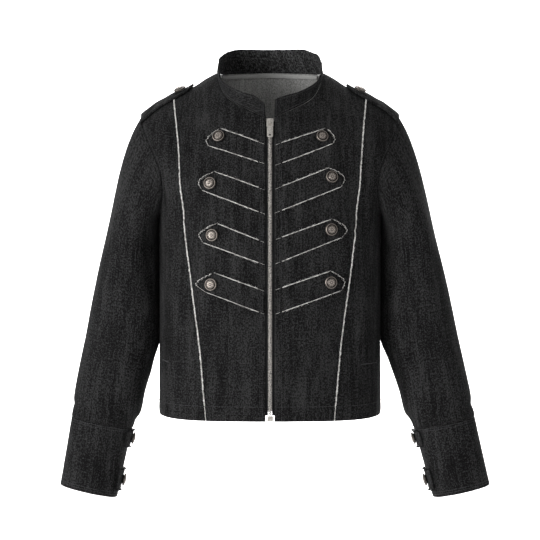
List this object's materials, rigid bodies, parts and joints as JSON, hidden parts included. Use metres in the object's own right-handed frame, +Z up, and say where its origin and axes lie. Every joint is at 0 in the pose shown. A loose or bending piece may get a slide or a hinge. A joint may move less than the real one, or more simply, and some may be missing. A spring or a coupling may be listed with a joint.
{
  "type": "denim jacket",
  "caption": "Cropped black denim zip jacket in its worn, hollow form: stand collar, chevron tabs with domed buttons, frayed princess trims, epaulettes, buttoned cuffs.",
  "frame": {"origin": "middle of the neck, level with the side neck seams, where the wearer's shoulders and neck hold the jacket", "axes": "+Z up, +X to the wearer's left, front faces -Y"},
  "size_m": [0.68, 0.2245, 0.7191],
  "materials": {
    "black_denim": "washed black twill denim with paler slubs",
    "tab_denim": "the same denim, raw edges frayed white",
    "white_fray": "frayed undyed weft threads",
    "neck_tape": "woven grey tape",
    "zip_tape": "woven black zip tape",
    "zip_metal": "antiqued nickel",
    "button_metal": "antiqued pewter"
  },
  "bodies": {
    "garment": {"back": "black_denim", "collar": "black_denim", "cuff_button_1_left": "button_metal", "cuff_button_1_right": "button_metal", "cuff_button_2_left": "button_metal", "cuff_button_2_right": "button_metal", "cuff_left": "black_denim", "cuff_right": "black_denim", "cuff_tab_1_left": "tab_denim", "cuff_tab_1_right": "tab_denim", "cuff_tab_2_left": "tab_denim", "cuff_tab_2_right": "tab_denim", "epaulette_button_left": "button_metal", "epaulette_button_right": "button_metal", "epaulette_left": "black_denim", "epaulette_right": "black_denim", "front_center_left": "black_denim", "front_center_right": "black_denim", "front_side_left": "black_denim", "front_side_right": "black_denim", "neck_tape": "neck_tape", "princess_trim_left": "white_fray", "princess_trim_right": "white_fray", "sleeve_left": "black_denim", "sleeve_right": "black_denim", "tab_1_left": "tab_denim", "tab_1_right": "tab_denim", "tab_2_left": "tab_denim", "tab_2_right": "tab_denim", "tab_3_left": "tab_denim", "tab_3_right": "tab_denim", "tab_4_left": "tab_denim", "tab_4_right": "tab_denim", "tab_button_1_left": "button_metal", "tab_button_1_right": "button_metal", "tab_button_2_left": "button_metal", "tab_button_2_right": "button_metal", "tab_button_3_left": "button_metal", "tab_button_3_right": "button_metal", "tab_button_4_left": "button_metal", "tab_button_4_right": "button_metal", "zip_box": "zip_metal", "zip_chain_left": "zip_metal", "zip_chain_right": "zip_metal", "zip_slider": "zip_metal", "zip_tape_left": "zip_tape", "zip_tape_right": "zip_tape"},
    "zip_pull": {"zip_pull": "zip_metal"}
  },
  "joints": [
    {"name": "pull_hinge", "type": "hinge", "parent": "garment", "child": "zip_pull", "pos_m": [0, -0.08279, -0.07665], "axis": [-1, 0, 0], "range_deg": [0, 165]}
  ]
}
